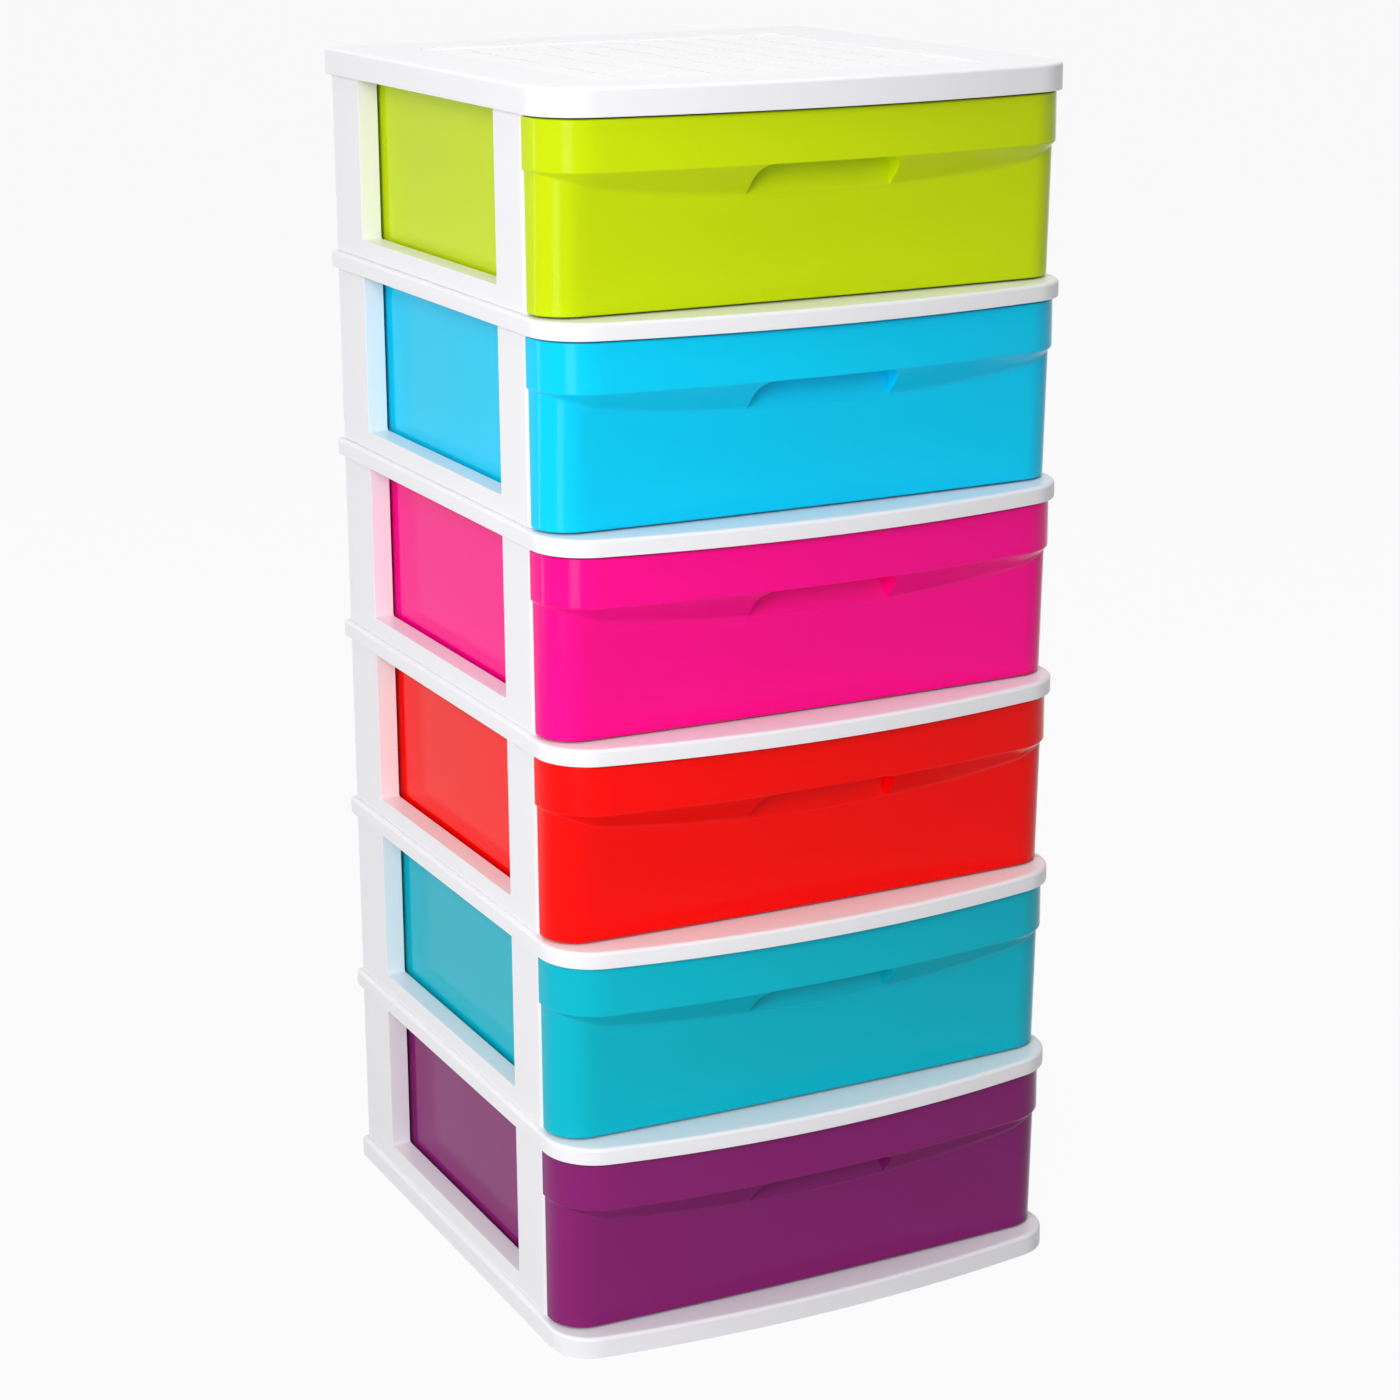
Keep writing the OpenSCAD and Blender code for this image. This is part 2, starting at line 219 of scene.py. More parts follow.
def blocks(name, corner_pairs):
    """Blocks that don't touch each other, each given by its low and high corners."""
    points, faces = [], []
    for low, high in corner_pairs:
        n = len(points)
        points += [(x, y, z) for z in (low[2], high[2]) for y in (low[1], high[1])
                   for x in (low[0], high[0])]
        faces += [[n + i for i in face] for face in
                  ([0, 2, 3, 1], [4, 5, 7, 6], [0, 1, 5, 4], [2, 6, 7, 3], [0, 4, 6, 2],
                   [1, 3, 7, 5])]
    mesh = bpy.data.meshes.new(name)
    mesh.from_pydata(points, [], faces)
    return new_piece(name, mesh)


def settle(piece):
    """Turns the evaluated piece into a plain mesh with no modifiers left."""
    graph = bpy.context.evaluated_depsgraph_get()
    mesh = bpy.data.meshes.new_from_object(piece.evaluated_get(graph))
    piece.modifiers.clear()
    piece.data = mesh
    return piece


def combine(piece, tool, operation):
    """Joins the tool to the piece, cuts it out of it, or keeps what they share."""
    fit = piece.modifiers.new("fit", "BOOLEAN")
    fit.solver = "EXACT"
    fit.operation = operation
    fit.object = tool
    settle(piece)
    bpy.data.objects.remove(tool)
    return piece


def shade(piece, angle=28):
    """Round surfaces shade smoothly, the large faces beside them stay flat, and edges sharper
    than the angle stay crisp. Points that a cut has left on each other become one first."""
    merge = piece.modifiers.new("merge", "WELD")
    merge.merge_threshold = weld
    mesh = settle(piece).data
    mesh.polygons.foreach_set("use_smooth", [True] * len(mesh.polygons))
    mesh.set_sharp_from_angle(angle=math.radians(angle))
    flatten = piece.modifiers.new("flatten", "WEIGHTED_NORMAL")
    flatten.keep_sharp = True
    settle(piece)


def paint(mesh, material):
    """Gives the whole mesh one material."""
    mesh.materials.clear()
    mesh.materials.append(material)
    mesh.polygons.foreach_set("material_index", [0] * len(mesh.polygons))


def placed_copy(mesh, name, place, mirrored=False):
    """Another piece from the same mould, moved to its place, or mirrored first."""
    copy = mesh.copy()
    if mirrored:
        copy.transform(Matrix.Scale(-1, 4, Vector((1, 0, 0))))
        copy.flip_normals()
    copy.transform(Matrix.Translation(place))
    return new_piece(name, copy)


def on_both_sides(pairs):
    """The blocks and their mirror images on the other side of the tower."""
    mirrored = [((-high[0], low[1], low[2]), (-low[0], high[1], high[2])) for low, high in pairs]
    return pairs + mirrored


def rounding(h, r, steps=6):
    """Heights and insets of the rings that round the top edge of a slab."""
    angles = [math.pi / 2 * i / steps for i in range(steps + 1)]
    return [(h - r * (1 - math.sin(a)), r * (1 - math.cos(a))) for a in angles]


def sockets(low_z, high_z):
    """What is cut away for the tenons of both side frames."""
    return on_both_sides([((tenon_x - tenon_w / 2 - tenon_gap, y - tenon_l / 2 - tenon_gap, low_z),
                           (tenon_x + tenon_w / 2 + tenon_gap, y + tenon_l / 2 + tenon_gap, high_z))
                          for y in tenon_ys])


def rim_ring(z, inset):
    """The outline of a shelf or of the top panel at a height, drawn in by an inset."""
    return [(x, y, z) for x, y in tray_outline(rim_half, rim_back, rim_front, rim_bow,
                                               rim_corner_r, rim_rear_r, inset)]


def rim_profile(h, plate_z):
    """Heights and insets of the rings of a tray: up from its hollow, round the foot and the edge."""
    foot = [(rim_foot_r - z, inset) for z, inset in rounding(rim_foot_r, rim_foot_r, steps=3)][::-1]
    return ([(plate_z, rim_wall), (0, rim_wall)] + foot + rounding(h, rim_edge_r)
            + [(h, rim_edge_r + rim_foot_r)])


def hanging_tray(name, h, plate_t):
    """Deck and rim, with the strips over the side frames and the drawer stop under them."""
    plate_z = h - plate_t
    root_z = plate_z + deck_t / 2
    tray = skin(name, [rim_ring(z, inset) for z, inset in rim_profile(h, plate_z)])
    strip = ((strip_in, side_front - rim_wall, 0), (strip_out, rim_back - rim_wall / 2, root_z))
    combine(tray, blocks("strips", on_both_sides([strip])), "UNION")
    rib = ((-side_in - overshoot, stop_rib_y - rim_wall, 0),
           (side_in + overshoot, stop_rib_y, root_z))
    combine(tray, blocks("stop_rib", [rib]), "UNION")
    hollow = ((strip_in + rim_wall, window_front + rim_wall, -overshoot),
              (side_out, window_back - rim_wall, plate_z))
    combine(tray, blocks("hollows", on_both_sides([hollow])), "DIFFERENCE")
    return combine(tray, blocks("sockets", sockets(-overshoot, socket_h)), "DIFFERENCE")


white_plastic = moulded_plastic("white polypropylene", (0.862, 0.855, 0.885),
                                roughness=0.34, mottle=0.012, gloss=0.3)
shelf_form = hanging_tray("shelf_form", shelf_h, deck_t)
upper_sockets = blocks("sockets", sockets(shelf_h - socket_h, shelf_h + overshoot))
combine(shelf_form, upper_sockets, "DIFFERENCE")
shade(shelf_form)
paint(shelf_form.data, white_plastic)
for tier in range(1, tiers):
    shelf_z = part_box(f"shelf_{tier}")[0].z
    shelf = placed_copy(shelf_form.data, f"shelf_tray_{tier}", (0, 0, shelf_z))
    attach(shelf, "frame")
    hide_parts(f"shelf_{tier}")
bpy.data.objects.remove(shelf_form)

# ---- Top panel -------------------------------------------------------------------------------
# The same rim, moulded deeper and thicker, closes the tower. The shallow field sunk in its top comes
# from a polished part of the mould, so it is whiter and glossier. A row of fine grooves runs over it
# from front to back, so that small things don't roll off.

top_low, top_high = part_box("top_panel")
top_panel_h = top_high.z - top_low.z
top_plate_t = 0.004
field_half = 0.146
field_front, field_back = -0.153, 0.157
field_corner_r = 0.008
field_depth = 0.0016
field_fillet = 0.0006
groove_count = 8
groove_w = 0.0024
groove_depth = 0.0006
groove_margin = 0.008
field_corner_steps = 8
faces_up = 0.9


def row_tree():
    """Geometry Nodes: a row of equal blocks, each a step from the one before."""
    tree = bpy.data.node_groups.new("row of blocks", "GeometryNodeTree")
    face = tree.interface
    for name, kind in (("Count", "NodeSocketInt"), ("First", "NodeSocketVector"),
                       ("Step", "NodeSocketVector"), ("Size", "NodeSocketVector"),
                       ("Material", "NodeSocketMaterial")):
        face.new_socket(name, in_out="INPUT", socket_type=kind)
    face.new_socket("Row", in_out="OUTPUT", socket_type="NodeSocketGeometry")
    start, end = tree.nodes.new("NodeGroupInput"), tree.nodes.new("NodeGroupOutput")
    line, block, spread, real, finish = (tree.nodes.new(f"GeometryNode{kind}") for kind in (
        "MeshLine", "MeshCube", "InstanceOnPoints", "RealizeInstances", "SetMaterial"))
    line.mode = "OFFSET"
    for source, target in ((start.outputs["Count"], line.inputs["Count"]),
                           (start.outputs["First"], line.inputs["Start Location"]),
                           (start.outputs["Step"], line.inputs["Offset"]),
                           (start.outputs["Size"], block.inputs["Size"]),
                           (line.outputs["Mesh"], spread.inputs["Points"]),
                           (block.outputs["Mesh"], spread.inputs["Instance"]),
                           (spread.outputs["Instances"], real.inputs["Geometry"]),
                           (real.outputs["Geometry"], finish.inputs["Geometry"]),
                           (start.outputs["Material"], finish.inputs["Material"]),
                           (finish.outputs["Geometry"], end.inputs["Row"])):
        tree.links.new(source, target)
    return tree


block_row = row_tree()


def row_of_blocks(name, count, low, high, step):
    """A row of blocks from the first one's low and high corners and the step to the next."""
    low, high = Vector(low), Vector(high)
    row = new_piece(name, bpy.data.meshes.new(name))
    maker = row.modifiers.new("row", "NODES")
    maker.node_group = block_row
    socket = {item.name: item.identifier for item in block_row.interface.items_tree
              if item.in_out == "INPUT"}
    maker[socket["Count"]] = count
    maker[socket["First"]] = (low + high) / 2
    maker[socket["Step"]] = step
    maker[socket["Size"]] = high - low
    maker[socket["Material"]] = white_plastic
    return settle(row)


def round_rectangle(half, front, back, r):
    """Plan outline with four equal round corners, counter-clockwise."""
    corners = ((half - r, back - r), (r - half, back - r), (r - half, front + r), (half - r, front + r))
    return [point for i, middle in enumerate(corners)
            for point in arc(middle, r, 90 * i, 90 * (i + 1), field_corner_steps)]


top_form = hanging_tray("top_cover", top_panel_h, top_plate_t)
field_z = top_panel_h - field_depth
field_rings = []
for z, inset in reversed(rounding(field_fillet, field_fillet, steps=3)):
    outline = round_rectangle(field_half - inset, field_front + inset, field_back - inset,
                              field_corner_r - inset)
    field_rings.append([(x, y, field_z + field_fillet - z) for x, y in outline])
field_rings.append([(x, y, top_panel_h + overshoot) for x, y, z in field_rings[-1]])
combine(top_form, skin("field", field_rings), "DIFFERENCE")
groove_step = 2 * field_half / (groove_count + 1)
first_groove = groove_step - field_half
grooves = row_of_blocks(
    "grooves", groove_count,
    (first_groove - groove_w / 2, field_front + groove_margin, field_z - groove_depth),
    (first_groove + groove_w / 2, field_back - groove_margin, field_z + overshoot),
    (groove_step, 0, 0))
combine(top_form, grooves, "DIFFERENCE")
top_form.data.transform(Matrix.Translation((0, 0, top_low.z)))
shade(top_form)
paint(top_form.data, white_plastic)
polished_white = moulded_plastic("polished white polypropylene", (0.895, 0.890, 0.900),
                                 roughness=0.30, mottle=0.008, gloss=0.3)
top_form.data.materials.append(polished_white)
for face in top_form.data.polygons:
    if face.normal.z > faces_up and abs(face.center.z - top_low.z - field_z) < field_fillet / 2:
        face.material_index = 1
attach(top_form, "frame")
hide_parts("top_panel")

# ---- Base ------------------------------------------------------------------------------------
# The lowest tray, moulded like the others, stands on its rim and on a grid of ribs under the deck.
# Its front is set back, and its deck carries the first pair of side frames.

base_low, base_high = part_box("base")
base_h = base_high.z - base_low.z
base_setback = 0.0075
base_front = rim_front + base_setback
base_bow = 0.017
base_corner_r = 0.032
rib_pitch = 0.095
rib_rows = 3


def base_ring(z, inset):
    """The outline of the base at a height, drawn in by an inset."""
    return [(x, y, z) for x, y in tray_outline(rim_half, rim_back, base_front, base_bow,
                                               base_corner_r, rim_rear_r, inset)]


base_plate_z = base_h - deck_t
root_z = base_plate_z + deck_t / 2
base_form = skin("base_tray", [base_ring(z, inset)
                               for z, inset in rim_profile(base_h, base_plate_z)])
strip = ((strip_in, side_front - rim_wall, root_z - socket_h),
         (rim_half - rim_wall + overshoot, rim_back - rim_wall + overshoot, root_z))
combine(base_form, blocks("strips", on_both_sides([strip])), "UNION")
for name, low, high, step in (
        ("long_ribs", (-rib_pitch - rim_wall / 2, rim_front, 0),
         (-rib_pitch + rim_wall / 2, rim_back, root_z), (rib_pitch, 0, 0)),
        ("cross_ribs", (-rim_half, -rib_pitch - rim_wall / 2, 0),
         (rim_half, -rib_pitch + rim_wall / 2, root_z), (0, rib_pitch, 0))):
    ribs = row_of_blocks(name, rib_rows, low, high, step)
    plug = skin("plug", [base_ring(z, rim_wall - overshoot) for z in (0, base_h)])
    combine(ribs, plug, "INTERSECT")
    combine(base_form, ribs, "UNION")
upper_sockets = blocks("sockets", sockets(base_h - socket_h, base_h + overshoot))
combine(base_form, upper_sockets, "DIFFERENCE")
shade(base_form)
paint(base_form.data, white_plastic)
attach(base_form, "frame")
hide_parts("base")

# ---- Side frames -----------------------------------------------------------------------------
# Twelve white U-shaped frames, two to a tier, moulded hollow from the inner side with ribs across
# the posts. Tenons on their ends clip into the trays above and below them.

tier_h = side_high.z - side_low.z - 2 * tenon_h
rail_h = 0.014
post_edge_r = 0.0045
frame_edge_r = 0.0007
window_corner_r = 0.002
post_edge_steps, frame_edge_steps, window_steps = 7, 2, 5
crisp_angle = 0.6
side_wall = 0.003
post_end_h = 0.008
post_cells, rail_cells = 3, 4


def frame_outline():
    """The U seen from the side, as (y, z), counter-clockwise from the front foot."""
    r = window_corner_r
    return ([(side_front, 0), (side_back, 0), (side_back, tier_h), (window_back, tier_h)]
            + arc((window_back - r, rail_h + r), r, 0, -90, window_steps)
            + arc((window_front + r, rail_h + r), r, 270, 180, window_steps)
            + [(window_front, tier_h), (side_front, tier_h)])


def side_form():
    """The frame on the right, with its feet at height 0: solid, with the outer front edge of the
    front post well rounded and every other crisp edge just broken."""
    shape = bmesh.new()
    outline = [shape.verts.new((side_in, y, z)) for y, z in frame_outline()]
    side = shape.faces.new(outline)
    pushed = bmesh.ops.extrude_face_region(shape, geom=[side])["geom"]
    bmesh.ops.translate(shape, vec=(side_out - side_in, 0, 0),
                        verts=[v for v in pushed if isinstance(v, bmesh.types.BMVert)])
    bmesh.ops.recalc_face_normals(shape, faces=shape.faces)
    front_edge = [e for e in shape.edges
                  if all(v.co.x > side_out - weld and v.co.y < side_front + weld for v in e.verts)]
    bmesh.ops.bevel(shape, geom=front_edge, offset=post_edge_r, segments=post_edge_steps,
                    profile=0.5, affect="EDGES")
    crisp = [e for e in shape.edges if e.calc_face_angle() > crisp_angle]
    bmesh.ops.bevel(shape, geom=crisp, offset=frame_edge_r, segments=frame_edge_steps,
                    profile=0.5, affect="EDGES", clamp_overlap=True)
    bmesh.ops.recalc_face_normals(shape, faces=shape.faces)
    mesh = bpy.data.meshes.new("side_form")
    shape.to_mesh(mesh)
    shape.free()
    return new_piece("side_form", mesh)


def cell_row(name, y0, y1, z0, z1, count, along_y):
    """Cutters for a row of cells that open to the inner side, with a wall between them."""
    pitch = ((y1 - y0 if along_y else z1 - z0) + side_wall) / count
    low = (side_in - overshoot, y0, z0)
    high = (side_out - side_wall, y0 + pitch - side_wall if along_y else y1,
            z1 if along_y else z0 + pitch - side_wall)
    return row_of_blocks(name, count, low, high, (0, pitch, 0) if along_y else (0, 0, pitch))


side_frame_form = side_form()
for name, y0, y1 in (("front_cells", side_front, window_front),
                     ("rear_cells", window_back, side_back)):
    cells = cell_row(name, y0 + side_wall, y1 - side_wall, post_end_h, tier_h - post_end_h,
                     post_cells, along_y=False)
    combine(side_frame_form, cells, "DIFFERENCE")
cells = cell_row("rail_cells", window_front + side_wall, window_back - side_wall, side_wall,
                 rail_h - side_wall, rail_cells, along_y=True)
combine(side_frame_form, cells, "DIFFERENCE")
tenons = [((tenon_x - tenon_w / 2, y - tenon_l / 2, low_z),
           (tenon_x + tenon_w / 2, y + tenon_l / 2, high_z))
          for y in tenon_ys
          for low_z, high_z in ((-tenon_h, overshoot), (tier_h - overshoot, tier_h + tenon_h))]
combine(side_frame_form, blocks("tenons", tenons), "UNION")
paint(side_frame_form.data, white_plastic)
for tier in range(1, tiers + 1):
    for side in ("left", "right"):
        node = f"side_{side}_{tier}"
        feet_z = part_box(node)[0].z + tenon_h
        post = placed_copy(side_frame_form.data, f"side_frame_{side}_{tier}", (0, 0, feet_z),
                           mirrored=side == "left")
        shade(post)
        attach(post, "frame")
        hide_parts(node)
bpy.data.objects.remove(side_frame_form)

# ---- Drawers ---------------------------------------------------------------------------------
# Six drawers of coloured polypropylene, one moulding each: a bin with a bow-fronted panel whose
# top leans out to a tall lip. The slope under the lip is cut away to a notch for the fingers.
# Two skids run on the deck, and two tabs behind meet the rib of the tray above.

# Heights, from the deck that the drawer slides on.
drawer_low, drawer_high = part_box("drawer_1")
deck_z = base_h
slide_gap = drawer_low.z - deck_z
skid_h = 0.001
foot_z = slide_gap + skid_h
bin_floor = 0.0022
inside_z = foot_z + bin_floor
head_gap = 0.0012
top_z = tier_h - head_gap
lip_h = 0.034
lip_z = top_z - lip_h
slope_h = 0.022
slope_z = lip_z - slope_h

# The front in plan: half width, front, bow and corner of the lip and of the face behind it.
slope_d = 0.0215
lip_front = drawer_low.y
lip_bow, lip_corner_r = 0.0185, 0.040
lip_shape = (drawer_high.x, lip_front, lip_bow, lip_corner_r)
face_bow, face_corner_r = 0.0043, 0.0255
face_shape = (side_out, lip_front + slope_d, face_bow, face_corner_r)
face_lean = 0.004
front_wall = 0.0025
panel_gap = 0.0015
panel_back = side_front - panel_gap
wing_edge_r = 0.0008

# The bin, with its skids and stop tabs.
bin_gap = 0.003
bin_half = side_in - bin_gap
bin_back = drawer_high.y
bin_wall = 0.002
bin_corner_r = 0.012
foot_r, inner_foot_r = 0.0015, 0.0012
skid_inset, skid_w, skid_root = 0.025, 0.006, 0.0005
skid_x = bin_half - skid_inset
tab_x, tab_w = 0.110, 0.020
tab_top_z = drawer_high.z - deck_z

# The notch, the pocket that goes up behind the lip, and the folds over and under the slope.
notch_half = 0.054
notch_r = 0.010
notch_up = 0.008
pocket_half = notch_half - notch_r
pocket_z = lip_z + notch_up
face_fold_r, lip_fold_r = 0.0024, 0.0007
fold_share = 0.3

# Up to here from the middle the lip and the face have their stations at the same width.
shared_half = 0.150
pocket_steps, shoulder_steps, plain_steps, bow_end_steps = 7, 8, 14, 3
wing_steps, bin_steps = 3, 8
foot_steps, fold_steps, rim_steps = 4, 4, 8


def notch_stations():
    """Stations across the right half of the front: the outer and inner skins' x, and the kind.
    Each end of the notch and of the pocket above it has two, to turn the corner there."""
    inner_r = notch_r + front_wall
    first_turn = math.asin(front_wall / inner_r)
    stations = []
    for i in range(pocket_steps + 1):
        share = i / pocket_steps
        stations.append((pocket_half * share, (pocket_half + front_wall) * share, "pocket"))
    for i in range(shoulder_steps + 1):
        turn = math.pi / 2 * i / shoulder_steps
        inner_turn = first_turn + (math.pi / 2 - first_turn) * i / shoulder_steps
        stations.append((pocket_half + notch_r * math.sin(turn),
                         pocket_half + inner_r * math.sin(inner_turn), "shoulder"))
    plain_w = shared_half - notch_half
    for i in range(plain_steps + 1):
        share = i / plain_steps
        stations.append((notch_half + plain_w * share,
                         notch_half + front_wall + (plain_w - front_wall) * share, "plain"))
    return stations


right_front = notch_stations()
shared_stations = [(-x, -inner, kind) for x, inner, kind in right_front[:0:-1]] + right_front
corner_kinds = ["plain"] * (bow_end_steps + corner_steps) + ["wing"] * (wing_steps + 1)
bin_kinds = ["bin"] * (bin_steps + 3) + ["tab", "tab", "bin"]
kinds = ([kind for x, inner, kind in shared_stations] + corner_kinds + bin_kinds
         + (corner_kinds + bin_kinds)[::-1])
rim_walls = [bin_wall if kind in ("bin", "tab") else front_wall for kind in kinds]


def front_curve(shape, inset):
    """Half width, bow and corner of the drawer's front in plan, drawn in by an inset."""
    half, front, bow, corner_r = shape
    bow_r = bow_radius(half, bow) - inset
    half, front, corner_r = half - inset, front + inset, corner_r - inset
    centre_y = front + bow_r
    corner_x = half - corner_r
    corner_y = centre_y - math.sqrt((bow_r - corner_r) ** 2 - corner_x ** 2)
    return half, bow_r, centre_y, corner_x, corner_y, corner_r


def bow_point(x, curve):
    """The point of the bow at a distance from the middle."""
    half, bow_r, centre_y, corner_x, corner_y, corner_r = curve
    return x, centre_y - math.sqrt(bow_r ** 2 - x ** 2)


def corner_rays(curve):
    """Points round the right front corner of the lip, with the directions that point out."""
    half, bow_r, centre_y, corner_x, corner_y, corner_r = curve
    turn = math.degrees(math.atan2(corner_x, centre_y - corner_y))
    first = math.degrees(math.asin(shared_half / bow_r))
    rays = []
    for i in range(1, bow_end_steps):
        a = math.radians(270 + first + (turn - first) * i / bow_end_steps)
        out = (math.cos(a), math.sin(a))
        rays.append(((bow_r * out[0], centre_y + bow_r * out[1]), out))
    for i in range(corner_steps + 1):
        a = math.radians(270 + turn + (90 - turn) * i / corner_steps)
        out = (math.cos(a), math.sin(a))
        rays.append(((corner_x + corner_r * out[0], corner_y + corner_r * out[1]), out))
    return rays


def behind(ray, curve):
    """Where a line straight in from a point of the lip meets the face."""
    (x, y), (out_x, out_y) = ray
    half, bow_r, centre_y, corner_x, corner_y, corner_r = curve
    halvings = 40
    near, far = 0.0, 2 * slope_d
    for _ in range(halvings):
        depth = (near + far) / 2
        px, py = x - out_x * depth, y - out_y * depth
        inside = px <= half and py >= bow_point(px, curve)[1]
        if px > corner_x and py < corner_y:
            inside = math.hypot(px - corner_x, py - corner_y) <= corner_r
        near, far = (near, depth) if inside else (depth, far)
    return x - out_x * far, y - out_y * far


def drawer_outline(face, share, inset=0.0):
    """Plan outline of the drawer's lip, or of its face, counter-clockwise: the outer skin at
    share 0, the inner skin at share 1. All of them have the same stations, so any two join."""
    front_inset, bin_inset = share * front_wall + inset, share * bin_wall + inset
    lip = front_curve(lip_shape, share * front_wall)
    curve = front_curve(face_shape if face else lip_shape, front_inset)
    points = [bow_point(x + (inner_x - x) * share, curve) for x, inner_x, kind in shared_stations]
    if face:
        right = [behind(ray, curve) for ray in corner_rays(lip)]
    else:
        right = [point for point, out in corner_rays(curve)]
    wing_y = panel_back - front_inset
    right += arc((curve[0] - wing_edge_r, wing_y - wing_edge_r), wing_edge_r, 0, 90, wing_steps)
    side_x, rear_y, rear_r = bin_half - bin_inset, bin_back - bin_inset, bin_corner_r - bin_inset
    right.append((side_x, wing_y))
    right += arc((side_x - rear_r, rear_y - rear_r), rear_r, 0, 90, bin_steps)
    right += [(tab_x + tab_w / 2, rear_y)] * 2 + [(tab_x - tab_w / 2, rear_y)] * 2
    return points + right + [(-x, y) for x, y in reversed(right)]


def fold(below, crease, above):
    """Points that round off the crease between two others."""
    return [below * (1 - t) ** 2 + crease * 2 * t * (1 - t) + above * t * t
            for t in (i / fold_steps for i in range(fold_steps + 1))]


def at_height(line, z):
    """Where a station's line reaches a height."""
    hair = 1e-9
    for a, b in zip(line, line[1:]):
        if min(a.z, b.z) - hair <= z <= max(a.z, b.z) + hair and a.z != b.z:
            return a.lerp(b, (z - a.z) / (b.z - a.z))
    return min(line, key=lambda p: abs(p.z - z)).copy()


def shoulder_z(x, r):
    """Height of the notch's round shoulder, seen from the front."""
    return lip_z - notch_r + math.sqrt(max(0.0, r * r - (abs(x) - pocket_half) ** 2))


def leaned(point, z, kind):
    """The face leans: below the slope it draws back towards its foot."""
    leans = kind not in ("wing", "bin", "tab")
    drop = max(0.0, slope_z - z) / (slope_z - foot_z) if leans else 0.0
    return Vector((point[0], point[1] + face_lean * drop, z))


def front_profile(share, rise):
    """For each station, its line from the face over the slope to the lip: the folded crease at
    the face, the folded edge of the lip, and the face's plan point. The slope has one angle all
    along, so it ends the higher, the nearer the lip comes to the face."""
    lines = []
    for lip_xy, face_xy, kind in zip(drawer_outline(False, share), drawer_outline(True, share), kinds):
        depth = math.dist(lip_xy, face_xy)
        edge_z = lip_z + rise
        crease_z = edge_z - depth * (lip_z - slope_z) / slope_d
        fold_room = fold_share * (edge_z - crease_z)
        low, high = min(face_fold_r, fold_room), min(lip_fold_r, fold_room)
        crease, edge = leaned(face_xy, crease_z, kind), Vector((*lip_xy, edge_z))
        slope = [crease, edge]
        face_line = fold(leaned(face_xy, crease_z - low, kind), crease, at_height(slope, crease_z + low))
        lip_line = fold(at_height(slope, edge_z - high), edge, edge + Vector((0, 0, high)))
        lines.append((face_line, lip_line, face_xy))
    return lines


def foot_rows(share, r, low_z):
    """Rows that round off the foot of the outer skin, or of the inner one."""
    rows = []
    for i in range(foot_steps + 1):
        a = math.pi / 2 * i / foot_steps
        z = low_z + r * (1 - math.cos(a))
        outline = drawer_outline(True, share, r * (1 - math.sin(a)))
        rows.append([leaned(point, z, kind) for point, kind in zip(outline, kinds)])
    return rows


def notch_back(face_line, x, y):
    """A station's face line where the notch takes the slope away: upright above the crease."""
    crease_z = face_line[fold_steps // 2].z
    return [Vector((x, y if p.z > crease_z else p.y, p.z)) for p in face_line]


def outer_columns():
    """The outer skin from above the foot to under the rim, with the notch cut into its slope."""
    columns = []
    for (face_line, lip_line, face_xy), kind in zip(front_profile(0, 0.0), kinds):
        x, y = face_xy
        lip_y = lip_line[-1].y
        if kind not in ("pocket", "shoulder"):
            end = face_line[-1]
            mid = at_height([end] + lip_line, max(min(lip_z - notch_r, lip_line[0].z), end.z))
            columns.append(face_line + [end, end, end, mid] + lip_line)
            continue
        back = notch_back(face_line, x, y)
        z = shoulder_z(x, notch_r) if kind == "shoulder" else lip_z
        line = face_line + lip_line
        inner_y = lip_y + front_wall
        roof = Vector((x, y, z))
        if kind == "pocket":
            hollow = [roof, Vector((x, y, pocket_z)), Vector((x, inner_y, pocket_z)),
                      Vector((x, inner_y, lip_z))]
        else:
            beside = abs(x) < pocket_half + weld
            hollow = [roof] * 3 + [Vector((x, inner_y, z)) if beside else at_height(line, z)]
        columns.append(back + hollow + [at_height(line, max(p.z, z)) for p in lip_line])
    return columns


def inner_columns():
    """The inner skin from under the rim down to the floor, with the notch's back standing in it."""
    slope_turn = math.atan2(slope_d, lip_z - slope_z)
    rise = front_wall * math.tan(slope_turn / 2)
    hump_z, hump_r = pocket_z + front_wall, notch_r + front_wall
    pocket_end_z = shoulder_z(pocket_half + front_wall, hump_r)
    columns = []
    for (face_line, lip_line, face_xy), kind in zip(front_profile(1, rise), kinds):
        top = Vector((lip_line[-1].x, lip_line[-1].y, hump_z))
        line = [top] + lip_line[::-1] + face_line[::-1]
        x, y = top.x, face_xy[1]
        if kind not in ("pocket", "shoulder"):
            end = face_line[-1]
            mid = at_height(line, max(min(lip_z - notch_r, lip_line[0].z), end.z))
            columns.append([top] + lip_line[::-1] + [mid, end, end] + face_line[::-1])
            continue
        back = notch_back(face_line, x, y)[::-1]
        if kind == "pocket":
            columns.append([top] * (fold_steps + 3)
                           + [Vector((x, y, hump_z)), Vector((x, y, pocket_end_z))] + back)
            continue
        z = shoulder_z(x, hump_r)
        roof = Vector((x, y, z))
        columns.append([top] + [at_height(line, max(p.z, z)) for p in lip_line[::-1]]
                       + [at_height(line, z), roof, roof] + back)
    return columns


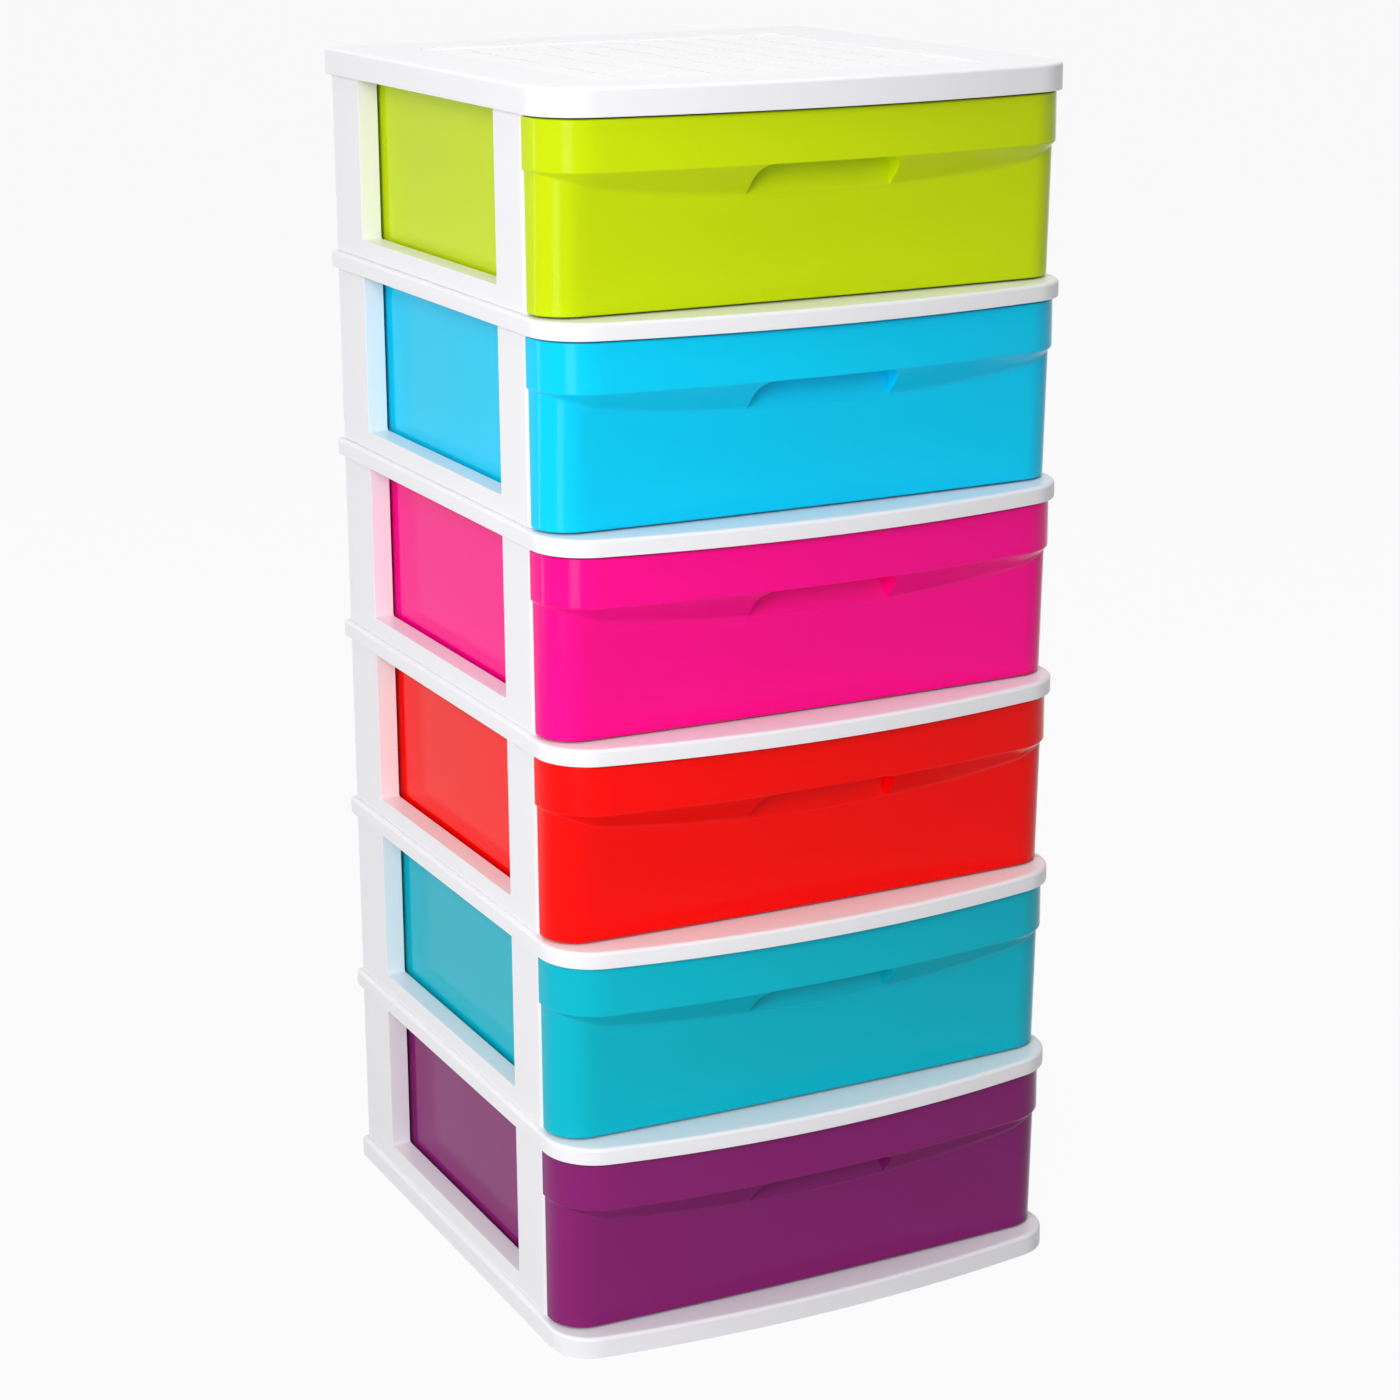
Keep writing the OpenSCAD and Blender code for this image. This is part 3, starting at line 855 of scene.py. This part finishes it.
def rim_rows():
    """Over the rim from the outer skin to the inner one, higher at the stop tabs."""
    turns = [math.pi * i / rim_steps for i in range(rim_steps + 1)]
    shares = [0.0] + [(1 - math.cos(turn)) / 2 for turn in turns] + [1.0]
    rises = [0.0] + [math.sin(turn) for turn in turns] + [0.0]
    rows = []
    for k, (share, rise) in enumerate(zip(shares, rises)):
        raised = 0 < k < len(shares) - 1
        rows.append([Vector((x, y, (tab_top_z if raised and kind == "tab" else top_z)
                             - wall / 2 * (1 - rise)))
                     for (x, y), wall, kind in zip(drawer_outline(False, share), rim_walls, kinds)])
    return rows


def joined(name, rows):
    """Closed mesh through rows of points. Points that coincide become one, so a face that has
    shrunk to a line or a point drops out."""
    form = bmesh.new()
    table = [[form.verts.new(p) for p in row] for row in rows]
    form.faces.new(table[0][::-1])
    form.faces.new(table[-1])
    for low, high in zip(table, table[1:]):
        for i in range(len(low)):
            form.faces.new((low[i - 1], low[i], high[i], high[i - 1]))
    bmesh.ops.remove_doubles(form, verts=form.verts, dist=weld)
    mesh = bpy.data.meshes.new(name)
    form.to_mesh(mesh)
    form.free()
    return new_piece(name, mesh)


drawer_form = joined("drawer_form", foot_rows(0, foot_r, foot_z) + list(zip(*outer_columns()))
                     + rim_rows() + list(zip(*inner_columns()))
                     + foot_rows(1, inner_foot_r, inside_z)[::-1])
skid = ((skid_x - skid_w / 2, panel_back - front_wall, slide_gap),
        (skid_x + skid_w / 2, bin_back - bin_corner_r, foot_z + skid_root))
combine(drawer_form, blocks("skids", on_both_sides([skid])), "UNION")
shade(drawer_form)

drawer_colours = [("purple", (0.24, 0.014, 0.157)), ("teal", (0.001, 0.475, 0.604)),
                  ("red", (0.97, 0.002, 0.001)), ("magenta", (1.0, 0.001, 0.272)),
                  ("sky_blue", (0.001, 0.61, 0.92)), ("lime", (0.575, 0.735, 0.001))]
for tier in range(1, tiers + 1):
    colour, tint = drawer_colours[tier - 1]
    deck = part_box(f"drawer_{tier}")[0].z - slide_gap
    drawer = placed_copy(drawer_form.data, f"{colour}_drawer_tub", (0, 0, deck))
    paint(drawer.data, moulded_plastic(f"{colour} polypropylene", tint,
                                       roughness=0.15, mottle=0.02, gloss=0.10))
    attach(drawer, f"drawer_{tier}")
    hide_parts(f"drawer_{tier}")
bpy.data.objects.remove(drawer_form)

# ---- Studio ----------------------------------------------------------------------------------
# A pale matt floor that keeps the tower's soft shadow, and white walls all round that light the
# shaded sides. Large soft boxes stand at the front left and hang overhead, and two narrow ones on
# the left light the side frames. The camera looks down a little from the front left.

floor_half = 20.0
floor_grey = 0.55
floor_glow = 0.94
wall_light = 0.26
wall_seen = 0.98
floor_mesh = bpy.data.meshes.new("floor")
floor_mesh.from_pydata([(-floor_half, -floor_half, 0), (floor_half, -floor_half, 0),
                        (floor_half, floor_half, 0), (-floor_half, floor_half, 0)],
                       [], [(0, 1, 2, 3)])
floor = new_piece("floor", floor_mesh)
floor_paint = bpy.data.materials.new("pale floor")
floor_paint.use_nodes = True
tree = floor_paint.node_tree
tree.nodes.clear()
wire = Wire(tree)
seen = wire.seen()
matt = wire.node("ShaderNodeBsdfDiffuse", {}, {"Color": (floor_grey, floor_grey, floor_grey, 1)})
glow = wire.node("ShaderNodeEmission", {}, {"Color": (1, 1, 1, 1), "Strength": 1.0})
mixed = wire.node("ShaderNodeMixShader", {}, {0: seen * floor_glow, 1: matt, 2: glow})
mixed.to(tree.nodes.new("ShaderNodeOutputMaterial").inputs["Surface"])
paint(floor_mesh, floor_paint)

world = bpy.data.worlds.new("white walls")
bpy.context.scene.world = world
world.use_nodes = True
tree = world.node_tree
tree.nodes.clear()
wire = Wire(tree)
lamp_white = wire.node("ShaderNodeBackground", {}, {"Color": (1, 1, 1, 1), "Strength": wall_light})
seen_white = wire.node("ShaderNodeBackground", {}, {"Color": (1, 1, 1, 1), "Strength": wall_seen})
mixed = wire.node("ShaderNodeMixShader", {}, {0: wire.seen(), 1: lamp_white, 2: seen_white})
mixed.to(tree.nodes.new("ShaderNodeOutputWorld").inputs["Surface"])


def soft_box(name, place, target, width, height, watts):
    """A rectangular lamp turned to a target. The camera doesn't see it."""
    lamp = bpy.data.lights.new(name, "AREA")
    lamp.shape = "RECTANGLE"
    lamp.size, lamp.size_y, lamp.energy = width, height, watts
    holder = bpy.data.objects.new(name, lamp)
    bpy.context.scene.collection.objects.link(holder)
    holder.visible_camera = False
    holder.location = place
    holder.rotation_euler = (Vector(target) - Vector(place)).to_track_quat("-Z", "Y").to_euler()


tower_middle, above_tower = (0, 0, 0.45), (0, 0, 0.95)
soft_box("key lamp", (-2.2, -2.8, 2.2), tower_middle, width=1.6, height=1.6, watts=53)
soft_box("top lamp", (0.0, -0.2, 3.2), tower_middle, width=2.4, height=2.4, watts=41)
soft_box("strip lamp", (-1.57, -1.24, 0.95), above_tower, width=0.6, height=1.9, watts=17)
soft_box("rear strip", (-1.77, 0.94, 0.95), above_tower, width=0.2, height=1.9, watts=5)

lens_mm = 81.35
sensor_mm = 36.0
lens_shift = -0.08
camera_place = (-1.0057, -2.0070, 1.0529)
camera_yaw, camera_pitch, camera_roll = 26.657, 14.125, -0.417
yaw, pitch, roll = (math.radians(a) for a in (camera_yaw, camera_pitch, camera_roll))
forward = Vector((math.sin(yaw) * math.cos(pitch), math.cos(yaw) * math.cos(pitch),
                  -math.sin(pitch)))
right = Vector((math.cos(yaw), -math.sin(yaw), 0))
up = right.cross(forward)
right, up = (right * math.cos(roll) + up * math.sin(roll),
             up * math.cos(roll) - right * math.sin(roll))
eye = bpy.data.cameras.new("camera")
eye.lens = lens_mm
eye.sensor_width = sensor_mm
eye.shift_y = lens_shift
camera = bpy.data.objects.new("camera", eye)
bpy.context.scene.collection.objects.link(camera)
turn = Matrix((right, up, -forward)).transposed().to_4x4()
camera.matrix_world = Matrix.Translation(camera_place) @ turn
bpy.context.scene.camera = camera
bpy.context.scene.view_settings.view_transform = "Standard"
